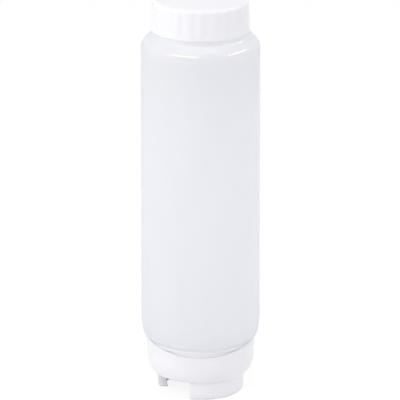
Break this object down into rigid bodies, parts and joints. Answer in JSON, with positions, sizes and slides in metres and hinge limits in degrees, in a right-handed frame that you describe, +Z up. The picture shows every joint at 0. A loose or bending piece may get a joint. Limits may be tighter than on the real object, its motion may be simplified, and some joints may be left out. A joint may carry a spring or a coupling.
{
  "type": "double-ended squeeze bottle",
  "caption": "Translucent sauce squeeze bottle with a fluted screw refill cap on top and a bowl-shaped dispensing cap with a slit valve below, which it stands on.",
  "frame": {"origin": "on the bottle's axis, at the flat that the legs of the dispensing cap stand on", "axes": "+Z up along the bottle's axis, -Y towards the picture's viewer, +X to the right"},
  "size_m": [0.07, 0.07, 0.24],
  "materials": {
    "milky_body": "translucent milky polyethylene, satin",
    "white_cap": "white moulded polypropylene, soft gloss",
    "pale_seal": "pale closed-cell foam, matte",
    "clear_silicone": "clear milky silicone, soft sheen"
  },
  "bodies": {
    "bottle": {"bottle_body": "milky_body"},
    "refill_seal": {"refill_cap_liner": "pale_seal"},
    "refill_closure": {"refill_cap": "white_cap"},
    "dispensing_seal": {"neck_gasket": "pale_seal"},
    "dispensing_closure": {"dispensing_cap": "white_cap", "valve_body": "clear_silicone", "valve_retainer": "white_cap"},
    "flap_front": {"valve_flap_1": "clear_silicone"},
    "flap_right": {"valve_flap_2": "clear_silicone"},
    "flap_back": {"valve_flap_3": "clear_silicone"},
    "flap_left": {"valve_flap_4": "clear_silicone"}
  },
  "joints": [
    {"name": "refill_cap_lift", "type": "slide", "parent": "bottle", "child": "refill_seal", "axis": [0, 0, 1], "range_m": [0, 0.018]},
    {"name": "refill_cap_turn", "type": "hinge", "parent": "refill_seal", "child": "refill_closure", "pos_m": [0, 0, 0.2307], "axis": [0, 0, 1], "range_deg": [0, 810]},
    {"name": "dispensing_cap_drop", "type": "slide", "parent": "bottle", "child": "dispensing_seal", "axis": [0, 0, -1], "range_m": [0, 0.018]},
    {"name": "dispensing_cap_turn", "type": "hinge", "parent": "dispensing_seal", "child": "dispensing_closure", "pos_m": [0, 0, 0.016], "axis": [0, 0, -1], "range_deg": [0, 810]},
    {"name": "flap_front_bend", "type": "hinge", "parent": "dispensing_closure", "child": "flap_front", "pos_m": [0, -0.0047, 0.0133], "axis": [-1, 0, 0], "range_deg": [0, 65], "stiffness_Nm_per_rad": 0.0006},
    {"name": "flap_right_bend", "type": "hinge", "parent": "dispensing_closure", "child": "flap_right", "pos_m": [0.0047, 0, 0.0133], "axis": [0, -1, 0], "range_deg": [0, 65], "stiffness_Nm_per_rad": 0.0006},
    {"name": "flap_back_bend", "type": "hinge", "parent": "dispensing_closure", "child": "flap_back", "pos_m": [0, 0.0047, 0.0133], "axis": [1, 0, 0], "range_deg": [0, 65], "stiffness_Nm_per_rad": 0.0006},
    {"name": "flap_left_bend", "type": "hinge", "parent": "dispensing_closure", "child": "flap_left", "pos_m": [-0.0047, 0, 0.0133], "axis": [0, 1, 0], "range_deg": [0, 65], "stiffness_Nm_per_rad": 0.0006}
  ],
  "couplings": [
    {"joint": "refill_cap_lift", "follows": "refill_cap_turn", "m_per_rad": 0.001273},
    {"joint": "dispensing_cap_drop", "follows": "dispensing_cap_turn", "m_per_rad": 0.001273},
    {"joint": "flap_right_bend", "follows": "flap_front_bend", "ratio": 1},
    {"joint": "flap_back_bend", "follows": "flap_front_bend", "ratio": 1},
    {"joint": "flap_left_bend", "follows": "flap_front_bend", "ratio": 1}
  ]
}
